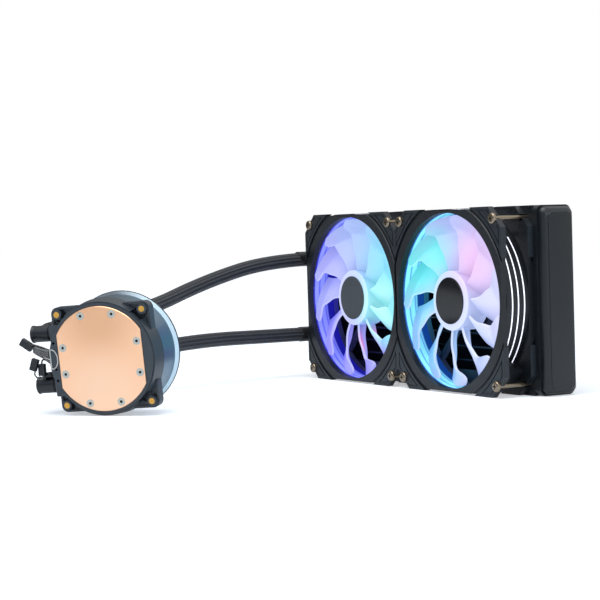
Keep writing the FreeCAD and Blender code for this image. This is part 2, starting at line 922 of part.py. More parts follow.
def flatted_disc(r, flat, front, back):
    return deep_rod(r, front, back).common(deep_box(-flat, flat, -r, r, front, back))


def cold_plate():
    plate = flatted_disc(plate_r, plate_flat, 0, plate_thick)
    rim = [e for e in plate.Edges if e.BoundBox.ZMin > -0.01]
    plate = plate.makeChamfer(plate_bevel, rim)
    holes = []
    for x, y in plate_screw_places():
        holes.append(deep_rod(plate_screw_r + fit_clear, 0, plate_thick, x, y))
        holes.append(deep_rod(plate_screw_head_r + fit_clear, 0, plate_screw_head, x, y))
    plate = plate.cut(holes)
    fins = []
    pitch = (skived_size - skived_thick) / (skived_fins - 1)
    half = skived_size / 2
    for i in range(skived_fins):
        x = -half + i * pitch
        fins.append(deep_box(x, x + skived_thick, -half, half, plate_thick, plate_thick + skived_height))
    save_pump("cold_plate", [plate.fuse(fins)])


def plate_screws():
    made = []
    for x, y in plate_screw_places():
        head = deep_rod(plate_screw_head_r, 0, plate_screw_head, x, y)
        shank = deep_rod(plate_screw_r, plate_screw_head, plate_screw_length, x, y)
        socket = deep_rod(plate_screw_socket_r, 0, plate_screw_head * 0.6, x, y)
        made.append(head.fuse(shank).removeSplitter().cut(socket))
    save_pump("plate_screws", made)


def plate_seal():
    seal = deep_ring(seal_r + seal_width / 2, seal_r - seal_width / 2, plate_thick,
                     plate_thick + seal_depth - seal_free)
    save_pump("plate_seal", [seal])


def port_block():
    block = deep_box(-block_face, 0, -block_half, block_half, block_front, block_back)
    edges = [e for e in block.Edges if e.BoundBox.XMax < -block_face + 0.01]
    return block.makeFillet(1.5, edges)


def pump_body():
    parts = [
        deep_rod(body_r, body_front, ring_seat),
        deep_rod(barrel_r, ring_seat, barrel_back),
        port_block(),
    ]
    boss_start = block_face - port_boss_r
    for y in (-port_half, port_half):
        parts.append(rod(port_boss_r, (-boss_start, y, -port_depth), port_boss_end - boss_start, -RIGHT))
    body = fused(parts)
    recess = flatted_disc(plate_r + plate_clear, plate_flat + plate_clear, body_front, plate_thick)
    groove = deep_ring(seal_r + seal_width / 2 + fit_clear, seal_r - seal_width / 2 - fit_clear,
                       plate_thick, plate_thick + seal_depth)
    cuts = [
        recess,
        groove,
        deep_rod(cold_chamber_r, plate_thick, cold_chamber_back),
        deep_rod(inlet_r, cold_chamber_back, rotor_chamber_front),
        deep_rod(rotor_chamber_r, rotor_chamber_front, barrel_back),
    ]
    for x, y in plate_screw_places():
        cuts.append(deep_rod(plate_screw_r, plate_thick, plate_screw_length + 1, x, y))
    for y in (-port_half, port_half):
        start = (-port_boss_end, y, -port_depth)
        cuts.append(rod(port_r, start, port_boss_end - port_bottom, RIGHT))
    # One port opens into the rotor's chamber and the other into the cold chamber
    to_rotor = Vector(port_bottom, -port_half, 0)
    start = Vector(-port_bottom - port_r / 2, port_half, -port_depth)
    cuts.append(Part.makeCylinder(passage_r, port_bottom, start, to_rotor))
    cuts.append(deep_rod(passage_r, passage_depth, port_depth, -port_bottom - port_r / 2, -port_half))
    start = Vector(-port_bottom - port_r / 2, -port_half, -passage_depth)
    cuts.append(Part.makeCylinder(passage_r, port_bottom, start, Vector(port_bottom, port_half, 0)))
    for inward, y in front_holes:
        x = inward - block_face
        cuts.append(deep_rod(front_hole_r, body_front, body_front + front_hole_deep, x, y))
    save_pump("pump_body", [body.cut(cuts)])


def corner_square(half, round_r, front, back):
    # The mounting ring's outline: a square whose corners are round about the inserts
    block = deep_box(-half, half, -half, half, front, back)
    upright = [e for e in block.Edges if e.BoundBox.ZLength > back - front - 0.01]
    return block.makeFillet(round_r, upright)


def mounting_ring():
    drop = ring_back - hoop_front
    hoop = Part.makeCone(ring_back_r, hoop_front_r, drop, Vector(0, 0, -ring_back), OUT)
    # Each ear is what a rounded square leaves outside the hoop: two gussets that meet at a boss
    square = corner_square(ear_half, ear_r, ear_front, ring_back)
    thin = corner_square(ear_half - ear_web, ear_r, ear_front, ear_front + ear_recess)
    reach = insert_half * math.sqrt(2)
    ears = []
    slots = []
    for sx in (-1, 1):
        for sy in (-1, 1):
            x0, x1 = sorted((sx * ear_inner, sx * ear_half))
            y0, y1 = sorted((sy * ear_inner, sy * ear_half))
            ear = square.common(deep_box(x0, x1, y0, y1, ear_front, ring_back))
            hollow = thin.common(deep_box(x0, x1, y0, y1, ear_front, ear_front + ear_recess))
            hollow = hollow.cut(deep_rod(ring_back_r, ear_front, ear_front + ear_recess))
            ears.append(ear.cut(hollow))
            slot = deep_box(0, reach, -ring_slot / 2, ring_slot / 2, hoop_front, ring_slot_back)
            slot.rotate(Vector(0, 0, 0), OUT, math.degrees(math.atan2(sy, sx)))
            slots.append(slot)
    whole = hoop.fuse(ears).cut(slots)
    bosses = []
    for x in (-insert_half, insert_half):
        for y in (-insert_half, insert_half):
            bosses.append(deep_rod(boss_r, insert_front, ring_back, x, y))
    whole = whole.fuse(bosses).removeSplitter()
    cuts = [deep_rod(body_r + ring_clear, hoop_front, ring_seat)]
    cuts.append(deep_rod(barrel_r + ring_clear, ring_seat, ring_back))
    side = block_half + cover_clear
    cuts.append(deep_box(-ring_back_r - 1, 0, -side, side, hoop_front, ring_back))
    for x in (-insert_half, insert_half):
        for y in (-insert_half, insert_half):
            cuts.append(deep_rod(insert_r, insert_front, ring_back, x, y))
    save_pump("mounting_ring", [whole.cut(cuts)])


def mount_inserts():
    made = []
    back = insert_front + insert_length
    for x in (-insert_half, insert_half):
        for y in (-insert_half, insert_half):
            stud = deep_rod(insert_r - fit_clear, insert_front, back, x, y)
            bore = deep_rod(insert_bore_r, back - insert_bore, back, x, y)
            made.append(stud.cut(bore))
    save_pump("mount_inserts", made)


def pump_partition():
    # A flanged can that keeps the coolant and the rotor apart from the coils
    flange_disc = deep_rod(barrel_r, barrel_back, barrel_back + can_flange)
    can = deep_rod(can_r, barrel_back, can_back)
    inside = deep_rod(can_r - can_wall, barrel_back, can_back - can_wall)
    opening = deep_rod(can_r - can_wall, barrel_back, barrel_back + can_flange)
    shape = flange_disc.fuse(can).removeSplitter().cut([inside, opening])
    seat = deep_rod(pin_r + 1.2, can_back - can_wall - 0.8, can_back - can_wall)
    shape = shape.fuse(seat).removeSplitter()
    save_pump("pump_partition", [shape])


def pump_rotor():
    bore_r = pin_r + pin_clear
    disc = deep_rod(vane_disc_r, rotor_front + vane_height, rotor_front + vane_height + vane_disc)
    magnet = deep_rod(rotor_r, rotor_front + vane_height + vane_disc, rotor_back)
    hub = deep_rod(pin_r + 1.8, rotor_front, rotor_front + vane_height)
    parts = [disc, magnet, hub]
    for i in range(vane_count):
        vane = deep_box(pin_r + 1, vane_disc_r - 0.3, -vane_thick / 2, vane_thick / 2,
                        rotor_front, rotor_front + vane_height)
        vane.rotate(Vector(pin_r + 1, 0, 0), OUT, 18)
        vane.rotate(Vector(0, 0, 0), OUT, 360 / vane_count * i)
        parts.append(vane)
    whole = fused(parts).common(deep_rod(vane_disc_r, rotor_front, rotor_back))
    save_pump("pump_impeller", [whole.cut(deep_rod(bore_r, rotor_front, rotor_back))])
    back = can_back - can_wall - 0.8
    pin = deep_rod(pin_r, rotor_chamber_front + 1.0, back)
    foot = deep_rod(pin_r + 0.9, rotor_chamber_front - 1.0, rotor_chamber_front + 1.0)
    spokes = deep_box(-inlet_r, inlet_r, -0.6, 0.6, rotor_chamber_front - 1.0, rotor_chamber_front)
    save_pump("pump_shaft", [fused([pin, foot, spokes])])


def pump_stator():
    core = deep_ring(coil_r, can_r + fit_clear, coil_front, coil_back)
    width = coil_r - can_r
    gaps = []
    for i in range(6):
        gap = deep_box(can_r + 0.28 * width, can_r + 0.8 * width, -1.2, 1.2, coil_front, coil_back)
        gap.rotate(Vector(0, 0, 0), OUT, 60 * i)
        gaps.append(gap)
    legs = []
    for i in range(3):
        x = (can_r + 0.78 * width) * math.cos(math.radians(120 * i + 30))
        y = (can_r + 0.78 * width) * math.sin(math.radians(120 * i + 30))
        legs.append(deep_rod(stator_leg_r, barrel_back + can_flange, coil_front, x, y))
    save_pump("pump_stator", [core.cut(gaps).fuse(legs)])


def pump_board():
    back = pump_board_front + pump_board_thick
    board = deep_rod(pump_board_r, pump_board_front, back)
    parts = [board]
    for i in range(pump_led_count):
        x0 = pump_board_r - led_size - 0.4
        led = deep_box(x0, x0 + led_size, -led_size / 2, led_size / 2, back, back + led_height)
        led.rotate(Vector(0, 0, 0), OUT, 360 / pump_led_count * i)
        parts.append(led)
    legs = []
    for i in range(3):
        x = board_leg_place * math.cos(math.radians(120 * i + 90))
        y = board_leg_place * math.sin(math.radians(120 * i + 90))
        legs.append(deep_rod(board_leg_r, barrel_back + can_flange, pump_board_front, x, y))
    save_pump("pump_board", [fused(parts + legs)])


def pump_cover():
    shell = deep_ring(cover_r, cover_r - cover_wall, cover_front, cover_back)
    # A step inside the shell sits on the partition's flange and holds the cover to the body
    step = deep_ring(cover_r - cover_wall / 2, barrel_r + fit_clear, barrel_back, barrel_back + can_flange)
    notch = deep_box(-cover_r - 1, -block_half, -block_half - cover_clear, block_half + cover_clear,
                     cover_front, block_back + cover_clear)
    whole = shell.fuse(step).removeSplitter().cut(notch)
    save_pump("pump_cover", [whole])


def pump_light_ring():
    inner = cover_r - light_ring_wall
    outer = Part.makeCone(light_ring_r, cover_r, light_ring_back - cover_back,
                          Vector(0, 0, -light_ring_back), OUT)
    lip = deep_ring(cover_r - cover_wall - fit_clear, inner, cover_back - 1.5, cover_back)
    shape = outer.cut(deep_rod(inner, cover_back, light_ring_back)).fuse(lip).removeSplitter()
    save_pump("pump_light_ring", [shape])


def pump_cap():
    disc = deep_rod(cap_disc_r, light_ring_back, cap_disc_back)
    edge = [e for e in disc.Edges if e.BoundBox.ZMax < -cap_disc_back + 0.01]
    disc = disc.makeFillet(cap_disc_round, edge)
    plug_r = cover_r - light_ring_wall - fit_clear
    plug = deep_ring(plug_r, plug_r - 1.2, light_ring_back - 1.5, light_ring_back)
    save_pump("pump_cap", [disc.fuse(plug).removeSplitter()])


def elbow(name, sign):
    y = sign * port_half
    z = -port_depth
    seat = port_boss_end + elbow_gap
    stub = rod(port_r - elbow_clear, (-elbow_inner_end, y, z), seat - elbow_inner_end, -RIGHT)
    neck = rod(neck_r, (-seat, y, z), neck_length, -RIGHT)
    knuckle = rod(knuckle_r, (-seat - neck_length, y, z), knuckle_end - seat - neck_length, -RIGHT)
    lip = Part.makeCone(knuckle_r, lip_r, lip_length, Vector(-knuckle_end + lip_length, y, z), -RIGHT)
    leg = deep_rod(outlet_r, port_depth, port_depth + outlet_length, -outlet_x, y)
    shoulder = port_depth + outlet_length
    parts = [stub, neck, knuckle, lip, leg, deep_rod(barb_r, shoulder, shoulder + barb_length, -outlet_x, y)]
    for i in range(3):
        tip = shoulder + barb_length - 3 - 4 * i
        at = Vector(-outlet_x, y, -tip - 2)
        parts.append(Part.makeCone(barb_r, barb_r + barb_ridge, 2.0, at, OUT))
    body = fused(parts)
    groove = rod(port_r, (-oring_back, y, z), oring_width, -RIGHT)
    groove = groove.cut(rod(port_r - oring_deep, (-oring_back, y, z), oring_width, -RIGHT))
    bore = rod(elbow_bore_r, (-elbow_inner_end, y, z), outlet_x - elbow_inner_end + elbow_bore_r, -RIGHT)
    drop = deep_rod(barb_bore_r, port_depth, shoulder + barb_length, -outlet_x, y)
    dimple = rod(knuckle_r - 1.4, (-knuckle_end + 0.6, y, z), 0.6, -RIGHT)
    save_pump(name + "_elbow", [body.cut([groove, bore, drop, dimple])])
    seal_inner = port_r - oring_deep + 0.02
    seal_outer = port_r - 0.03
    seal = rod(seal_outer, (-oring_back - 0.05, y, z), oring_width - 0.1, -RIGHT)
    seal = seal.cut(rod(seal_inner, (-oring_back - 0.05, y, z), oring_width - 0.1, -RIGHT))
    save_pump(name + "_elbow_seal", [seal])


# Pump cables
def beside_block(out, y, depth):
    return Vector(-block_face - out, y, -depth)


def plug(centre, degrees, size):
    length, height, thick = size
    block = box(-length / 2, length / 2, -height / 2, height / 2, -thick / 2, thick / 2)
    block = block.makeFillet(plug_round, [e for e in block.Edges if e.BoundBox.XLength > length - 0.01])
    pins = []
    for row in (-1, 0, 1):
        start = (-length / 2, row * height / 3.4, 0)
        pins.append(rod(plug_pin_r, start, plug_pin_deep, RIGHT))
    block = block.cut(pins)
    block.rotate(Vector(0, 0, 0), OUT, degrees)
    block.translate(beside_block(*centre))
    return block


def cable_hank():
    # The folded bundle of wires keeps only its outer shape
    corners = [beside_block(out, y, hank_back) for out, y in hank_corners]
    hank = polygon_prism(corners, OUT * (hank_back - hank_front))
    return hank.makeFillet(hank_round, hank.Edges)


def cable_tie():
    # A wire loop with one straight side, lying on the body's front rim where it holds the bundle
    depth = body_front - tie_wire_r
    edges = route_edges("cable_tie", [beside_block(out, y, depth) for out, y in tie_corners], 2 * tie_wire_r)
    save_pump("cable_tie", [tube_along(edges, tie_wire_r)])


def cable(name, route, ends_in):
    edges = route_edges(name, [beside_block(*p) for p in route], 2 * cable_r)
    save_pump(name, [tube_along(edges, cable_r).cut(ends_in)])


def cables():
    hank = cable_hank()
    plugs = [plug(*each) for each in light_plugs]
    save_pump("power_cable_hank", [hank])
    save_pump("power_plug", [plug(*each).cut(hank) for each in power_plugs])
    save_pump("light_plugs", plugs)
    cable("power_cable", power_cable_route, [hank])
    cable("light_cable", light_cable_route, plugs)
    cable_tie()


def build():
    os.makedirs("parts", exist_ok=True)
    radiator_tubes()
    radiator_fins()
    side_plates()
    headers()
    right_tank()
    left_tank()
    fan("left", -fan_size / 2, left_fan_turn)
    fan("right", fan_size / 2, right_fan_turn)
    fan_screws()
    cold_plate()
    plate_screws()
    plate_seal()
    pump_body()
    mounting_ring()
    mount_inserts()
    pump_partition()
    pump_rotor()
    pump_stator()
    pump_board()
    pump_cover()
    pump_light_ring()
    pump_cap()
    elbow("upper", 1)
    elbow("lower", -1)
    hoses()
    cables()


build()
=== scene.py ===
import json
import math

import bmesh
import bpy
from mathutils import Matrix, Vector


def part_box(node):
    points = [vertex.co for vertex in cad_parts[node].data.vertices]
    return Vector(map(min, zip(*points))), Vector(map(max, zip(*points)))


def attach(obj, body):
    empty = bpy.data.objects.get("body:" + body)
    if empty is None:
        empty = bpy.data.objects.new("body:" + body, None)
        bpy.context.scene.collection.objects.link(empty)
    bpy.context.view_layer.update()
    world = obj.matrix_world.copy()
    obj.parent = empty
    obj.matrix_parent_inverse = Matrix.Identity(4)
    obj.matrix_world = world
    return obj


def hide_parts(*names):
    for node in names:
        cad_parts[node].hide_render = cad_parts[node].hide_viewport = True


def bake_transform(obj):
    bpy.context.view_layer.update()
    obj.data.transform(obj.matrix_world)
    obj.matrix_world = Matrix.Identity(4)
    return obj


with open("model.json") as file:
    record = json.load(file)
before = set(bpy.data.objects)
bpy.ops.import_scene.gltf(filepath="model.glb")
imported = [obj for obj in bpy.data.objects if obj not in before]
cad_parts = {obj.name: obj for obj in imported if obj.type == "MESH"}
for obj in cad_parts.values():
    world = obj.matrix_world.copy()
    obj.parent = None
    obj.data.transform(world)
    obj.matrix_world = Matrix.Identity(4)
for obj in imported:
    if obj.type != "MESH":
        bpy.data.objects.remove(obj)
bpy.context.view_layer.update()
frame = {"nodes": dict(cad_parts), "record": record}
nodes = frame["nodes"]
joints = {joint["name"]: joint for joint in frame["record"]["behaviour"]["joints"]}
mounts = {mount["name"]: mount for mount in frame["record"]["mounts"]}
scene = bpy.context.scene
MM = 0.001

# Camera: its place and lens follow from the fans' corners and circles
camera_azimuth = 60.01
camera_elevation = 2.2
camera_roll = -1.75
camera_distance = 1.277
camera_target = Vector((-0.1306, -0.0385, 0.0572))
camera_focal = 102.66
camera_sensor = 36.0

# Light: strengths that the camera, mirrors and everything else get from the world and the floor
world_light = 0.38
mirror_base = 0.10
floor_near = 0.44
floor_far = 0.70
floor_near_reach = 0.3
floor_far_reach = 1.6
floor_mirrored = 0.22
floor_half = 12.0
floor_drop = 0.2 * MM
mirror_rises = (("Z", 0.15, 0.75, 0.6), ("X", 0.1, 0.9, 0.35), ("Y", 0.3, 0.9, 0.6))

# Fans
fan_radius = 0.060
fan_centres = {"left": Vector((-0.060, -0.026, 0.060)), "right": Vector((0.060, -0.026, 0.060))}
hub_radius = 19.6 * MM
duct_glow_r = 58.1 * MM

# A face counts as the front or a side wall by its normal, and as a blade's rim by its patch's area
facing_front = 0.3
facing_side = 0.5
rim_area = 110 * MM * MM
patch_bend = 0.5

# Soft hoops of light on the sleeve, from its front edge to its deep part
sleeve_pitch = 4.65 * MM
sleeve_phase = 0.3
sleeve_front = 8.0 * MM
sleeve_front_fade = 1.5 * MM
sleeve_deep = 3.8 * MM
sleeve_fade = 2.0 * MM
hoop_floor = 0.45

# Glow: how far a coloured spot of painted light reaches, how strong each kind is, and how deep the painted
# shade gets in closed places
wide = 55.0 * MM
close = 20.0 * MM
spot_core = 0.15
blade_glow = 0.95
rim_deepen = 0.8
sleeve_glow = 0.75
duct_glow = 0.6
duct_deepen = 0.8
# How far the painted shade of closed places reaches
closed_shade_reach = 14.0 * MM
unlit_plastic = "5a5c70"

# Radiator: its core, header plates and plain tank
tube_rows = 12
tube_thick = 2.0 * MM
plate_wall = 1.2 * MM
rad_width = 120.0 * MM
rad_depth = 27.0 * MM
fin_pitch = 1.3 * MM
header_reach = 5.5 * MM
header_thick = 1.5 * MM
header_wall = 1.0 * MM
header_round = 4.0 * MM
tank_round = 4.5 * MM
panel_inset = 3.2 * MM
panel_raise = 0.7 * MM
panel_round = 3.5 * MM
panel_foot = 0.1 * MM
panel_ease = 0.15 * MM
panel_brim = 0.55 * MM
round_steps = 8
sharp_angle = 0.6

# Hoses: the same route points as the solids have, from the pump to the radiator
hose_radius = 5.1 * MM
hose_routes = {
    "upper": ((-25.7, -280.8, 50.4), (-56.7, -247.0, 54.1), (-96.2, -183.2, 56.0),
              (-120.2, -121.9, 74.6), (-131.5, -62.5, 87.7), (-131.5, -16.5, 87.7)),
    "lower": ((-26.2, -277.8, 18.5), (-57.2, -244.0, 22.2), (-94.5, -186.4, 29.4),
              (-118.7, -126.8, 32.7), (-131.5, -62.5, 31.6), (-131.5, -16.5, 31.6)),
}
hose_sides = 48
braid_ridges = 13
braid_around = 26
braid_step = 1.0 * MM
strand_height = 0.35

# Pump head: its own axes
pump_out = Vector(mounts["cold_plate_face"]["axis"])
pump_across = Vector(joints["upper_elbow_swivel"]["axis"])
pump_above = pump_out.cross(pump_across)
pump_centre = Vector(mounts["cold_plate_face"]["pos_m"])
socket_start = 0.195 * MM

# Plate and light ring: their tones, and where the spots of painted shade and painted highlight on them lie
# above, beside and behind the centre
copper_tone = "ffcaa2"
mark_pitch = 0.55 * MM
plate_shade = 24.0
shade_reach = 34.0 * MM
shine_reach = 40.0 * MM
ring_tone = "b3cbd9"
# A spot of painted shade at the ring's top: above, beside and behind the centre
ring_shade_spot = (38.0, 8.0, 28.0)
ring_shade_reach = 36.0 * MM
ring_glow = 0.4

# Wires, in millimetres out from the port block's face, up, and behind the plate
block_face = 34.0
wire_thick = 1.0 * MM
hank_turns = 5
hank_turn_points = 12
hank_squareness = 0.7
hank_start = 1.0
hank_length = 11.4
hank_low = -0.6
hank_low_rise = 6.9
hank_high = 6.4
hank_high_rise = 4.2
hank_depth = 5.3
hank_half = 2.1
power_start = ((0.0, 4.0, 12.6), (3.6, 4.0, 12.6), (7.0, 5.0, 11.4), (11.0, 5.8, 9.6))
power_end = ((14.0, 10.9, 5.4), (15.4, 10.9, 5.2))
light_route = (
    (0.0, -3.0, 12.6), (3.4, -3.0, 12.6), (6.0, -2.2, 12.4), (8.2, 0.2, 11.6), (9.8, 0.6, 10.0),
    (10.0, -2.4, 9.0), (10.0, -8.9, 9.0), (10.4, -11.0, 9.6), (12.6, -11.6, 9.4),
    (14.6, -9.4, 8.0), (14.6, -6.8, 6.8), (12.4, -4.6, 6.0),
)


def colour(code, alpha=1.0):
    """A colour written as it looks on the screen."""
    parts = [int(code[i:i + 2], 16) / 255 for i in (0, 2, 4)]
    linear = [c / 12.92 if c <= 0.04045 else ((c + 0.055) / 1.055) ** 2.4 for c in parts]
    return (*linear, alpha)


def material(name, code, metallic=0.0, roughness=0.5, **inputs):
    """A plain finish; further inputs are named with _ for a space."""
    made = bpy.data.materials.new(name)
    made.use_nodes = True
    shader = made.node_tree.nodes["Principled BSDF"]
    shader.inputs["Base Color"].default_value = colour(code)
    shader.inputs["Metallic"].default_value = metallic
    shader.inputs["Roughness"].default_value = roughness
    for key, value in inputs.items():
        shader.inputs[key.replace("_", " ")].default_value = value
    return made


def add(made, kind, **settings):
    """A new node of the material, with its settings and fixed inputs."""
    node = made.node_tree.nodes.new(kind)
    for key, value in settings.items():
        if key in node.bl_rna.properties:
            setattr(node, key, value)
        else:
            node.inputs[key].default_value = value
    return node


def link(made, source, output, target, entry):
    made.node_tree.links.new(source.outputs[output], target.inputs[entry])


def grain(made, size, strength, distance=0.0001):
    """A fine moulded or cast texture, as a bump."""
    shader = made.node_tree.nodes["Principled BSDF"]
    place = add(made, "ShaderNodeNewGeometry")
    noise = add(made, "ShaderNodeTexNoise", Scale=1 / size, Detail=2.0)
    bump = add(made, "ShaderNodeBump", Strength=strength, Distance=distance)
    link(made, place, "Position", noise, "Vector")
    link(made, noise, "Fac", bump, "Height")
    link(made, bump, "Normal", shader, "Normal")
    return made


def spots(made, base, places):
    """A colour that changes softly over the object, as painted light or painted shade: each place pulls
    what is near it to its own colour.
    """
    position = add(made, "ShaderNodeNewGeometry")
    last = add(made, "ShaderNodeRGB")
    last.outputs[0].default_value = colour(base)
    output = "Color"
    for centre, code, reach in places:
        gap = add(made, "ShaderNodeVectorMath", operation="DISTANCE")
        gap.inputs[1].default_value = centre
        link(made, position, "Position", gap, 0)
        near = add(made, "ShaderNodeMapRange", interpolation_type="SMOOTHSTEP")
        near.inputs["From Min"].default_value = reach
        near.inputs["From Max"].default_value = reach * spot_core
        link(made, gap, "Value", near, "Value")
        mix = add(made, "ShaderNodeMix", data_type="RGBA")
        mix.inputs[7].default_value = colour(code)
        link(made, near, "Result", mix, 0)
        link(made, last, output, mix, 6)
        last = mix
        output = 2
    return last, output


def lit_plastic(name, base, places, strength, deepen=0.42, whiten=0.0):
    """Milky plastic glowing with painted light from inside: pale where it is open, deeper in colour under
    painted shade where it is closed in.
    """
    made = material(name, unlit_plastic, roughness=0.32)
    shader = made.node_tree.nodes["Principled BSDF"]
    tint, output = spots(made, base, places)
    # Painted shade: ambient occlusion darkens and deepens the colour where the plastic is closed in
    closed = add(made, "ShaderNodeAmbientOcclusion", samples=8)
    closed.inputs["Distance"].default_value = closed_shade_reach
    deep = add(made, "ShaderNodeHueSaturation", Saturation=1.6, Value=deepen)
    link(made, tint, output, deep, "Color")
    mix = add(made, "ShaderNodeMix", data_type="RGBA")
    link(made, closed, "AO", mix, 0)
    link(made, deep, "Color", mix, 6)
    link(made, tint, output, mix, 7)
    # Painted highlight: whiten mixes the glow towards white, as on the blades' rims
    white = add(made, "ShaderNodeMix", data_type="RGBA")
    white.inputs[0].default_value = whiten
    white.inputs[7].default_value = (1, 1, 1, 1)
    link(made, mix, 2, white, 6)
    link(made, white, 2, shader, "Emission Color")
    shader.inputs["Emission Strength"].default_value = strength
    return made


def sine(made, source, output, rate, other=None, other_output="Value", phase=0.0):
    """A wave along one number, or along two added up."""
    turn = add(made, "ShaderNodeMath", operation="MULTIPLY_ADD")
    turn.inputs[1].default_value = 2 * math.pi * rate
    turn.inputs[2].default_value = phase
    link(made, source, output, turn, 0)
    if other:
        link(made, other, other_output, turn, 2)
    wave = add(made, "ShaderNodeMath", operation="SINE")
    link(made, turn, "Value", wave, 0)
    return wave


def braided(name):
    """A sleeve of fine crossed strands with soft ridges along it, on the tube's own map; the raised strands
    are painted lighter and the grooves darker, as painted highlight and painted shade.
    """
    made = material(name, "14161b", roughness=0.4)
    shader = made.node_tree.nodes["Principled BSDF"]
    place = add(made, "ShaderNodeTexCoord")
    split = add(made, "ShaderNodeSeparateXYZ")
    link(made, place, "UV", split, "Vector")
    ridges = sine(made, split, "X", braid_ridges)
    along_it = add(made, "ShaderNodeMath", operation="MULTIPLY")
    along_it.inputs[1].default_value = 2 * math.pi
    link(made, split, "Y", along_it, 0)
    strands = [sine(made, split, "X", sign * braid_around, along_it) for sign in (1, -1)]
    crossed = add(made, "ShaderNodeMath", operation="MULTIPLY")
    link(made, strands[0], "Value", crossed, 0)
    link(made, strands[1], "Value", crossed, 1)
    height = add(made, "ShaderNodeMath", operation="MULTIPLY_ADD")
    height.inputs[1].default_value = strand_height
    link(made, crossed, "Value", height, 0)
    link(made, ridges, "Value", height, 2)
    bump = add(made, "ShaderNodeBump", Strength=1.0, Distance=0.0003)
    link(made, height, "Value", bump, "Height")
    link(made, bump, "Normal", shader, "Normal")
    # Painted highlight on the strands' tops and painted shade in the grooves, by the bump's height
    tint = add(made, "ShaderNodeMix", data_type="RGBA")
    tint.inputs[6].default_value = colour("0c0e12")
    tint.inputs[7].default_value = colour("40464f")
    level = add(made, "ShaderNodeMapRange")
    level.inputs["From Min"].default_value = -0.2
    level.inputs["From Max"].default_value = 1.0 + strand_height
    link(made, height, "Value", level, "Value")
    link(made, level, "Result", tint, 0)
    link(made, tint, 2, shader, "Base Color")
    return made


def banded_sleeve(name, deep, pale, strength):
    """The clear sleeve inside the duct: pale light in soft hoops, and deep colour towards the radiator."""
    made = material(name, deep, roughness=0.3)
    shader = made.node_tree.nodes["Principled BSDF"]
    place = add(made, "ShaderNodeNewGeometry")
    split = add(made, "ShaderNodeSeparateXYZ")
    link(made, place, "Position", split, "Vector")
    hoops = sine(made, split, "Y", 1 / sleeve_pitch, phase=sleeve_phase)
    lines = add(made, "ShaderNodeMapRange", interpolation_type="SMOOTHSTEP")
    lines.inputs["From Min"].default_value = -1.0
    lines.inputs["From Max"].default_value = -0.3
    lines.inputs["To Min"].default_value = hoop_floor
    link(made, hoops, "Value", lines, "Value")
    depth = add(made, "ShaderNodeMapRange", interpolation_type="SMOOTHSTEP")
    depth.inputs["From Min"].default_value = fan_centres["left"].y + sleeve_deep
    depth.inputs["From Max"].default_value = fan_centres["left"].y + sleeve_deep - sleeve_fade
    link(made, split, "Y", depth, "Value")
    front = add(made, "ShaderNodeMapRange", interpolation_type="SMOOTHSTEP")
    front.inputs["From Min"].default_value = fan_centres["left"].y - sleeve_front
    front.inputs["From Max"].default_value = fan_centres["left"].y - sleeve_front + sleeve_front_fade
    link(made, split, "Y", front, "Value")
    ends = add(made, "ShaderNodeMath", operation="MULTIPLY")
    link(made, front, "Result", ends, 0)
    link(made, depth, "Result", ends, 1)
    share = add(made, "ShaderNodeMath", operation="MULTIPLY")
    link(made, lines, "Result", share, 0)
    link(made, ends, "Value", share, 1)
    mix = add(made, "ShaderNodeMix", data_type="RGBA")
    mix.inputs[6].default_value = colour(deep)
    mix.inputs[7].default_value = colour(pale)
    link(made, share, "Value", mix, 0)
    link(made, mix, 2, shader, "Base Color")
    link(made, mix, 2, shader, "Emission Color")
    shader.inputs["Emission Strength"].default_value = strength
    return made


def machined_copper(name):
    """Turned copper: fine straight tool marks, with painted shade making it darker towards the top and a
    painted highlight making it paler towards the bottom.
    """
    made = material(name, copper_tone, metallic=1.0, roughness=0.34)
    shader = made.node_tree.nodes["Principled BSDF"]
    above = pump_centre + pump_above * plate_shade * MM
    below = pump_centre - pump_above * plate_shade * MM
    # Painted shade above the centre, painted highlight below it
    places = [(above, "ecb68e", shade_reach), (below, "ffd2b0", shine_reach)]
    tint, output = spots(made, copper_tone, places)
    link(made, tint, output, shader, "Base Color")
    place = add(made, "ShaderNodeNewGeometry")
    height = add(made, "ShaderNodeVectorMath", operation="DOT_PRODUCT")
    height.inputs[1].default_value = pump_above
    link(made, place, "Position", height, 0)
    marks = sine(made, height, "Value", 1 / mark_pitch)
    bump = add(made, "ShaderNodeBump", Strength=0.12, Distance=0.00002)
    link(made, marks, "Value", bump, "Height")
    link(made, bump, "Normal", shader, "Normal")
    return made


def uneven_glow(name):
    """The ring between the pump's cover and its cap: painted light as if lit from the side, and painted
    shade darker at its top.
    """
    made = material(name, ring_tone, roughness=0.3)
    shader = made.node_tree.nodes["Principled BSDF"]
    above, aside, behind = ring_shade_spot
    top = pump_centre + (pump_above * above - pump_across * aside - pump_out * behind) * MM
    tint, output = spots(made, ring_tone, [(top, "4d575f", ring_shade_reach)])
    link(made, tint, output, shader, "Base Color")
    link(made, tint, output, shader, "Emission Color")
    shader.inputs["Emission Strength"].default_value = ring_glow
    return made


def fan_place(side, u, w):
    """A point in a fan's plane: u to the right and w up, as shares of the fan's half size."""
    return fan_centres[side] + Vector((u, 0, w)) * fan_radius


black_plastic = grain(material("black_plastic", "0d1319", roughness=0.42), 0.0004, 0.15)
pad_rubber = grain(material("pad_rubber", "192128", roughness=0.45), 0.0004, 0.2)
black_paint = grain(material("black_paint", "11181c", roughness=0.36), 0.0006, 0.12)
ring_plastic = grain(material("ring_plastic", "323a41", roughness=0.4), 0.0004, 0.15)
hub_grey = material("hub_grey", "3a4046", roughness=0.3)
hub_black = material("hub_black", "101114", roughness=0.12)
copper = machined_copper("copper")
brass = material("brass", "d9a651", metallic=1.0, roughness=0.4)
nickel = material("nickel", "b6b6ad", metallic=1.0, roughness=0.25)
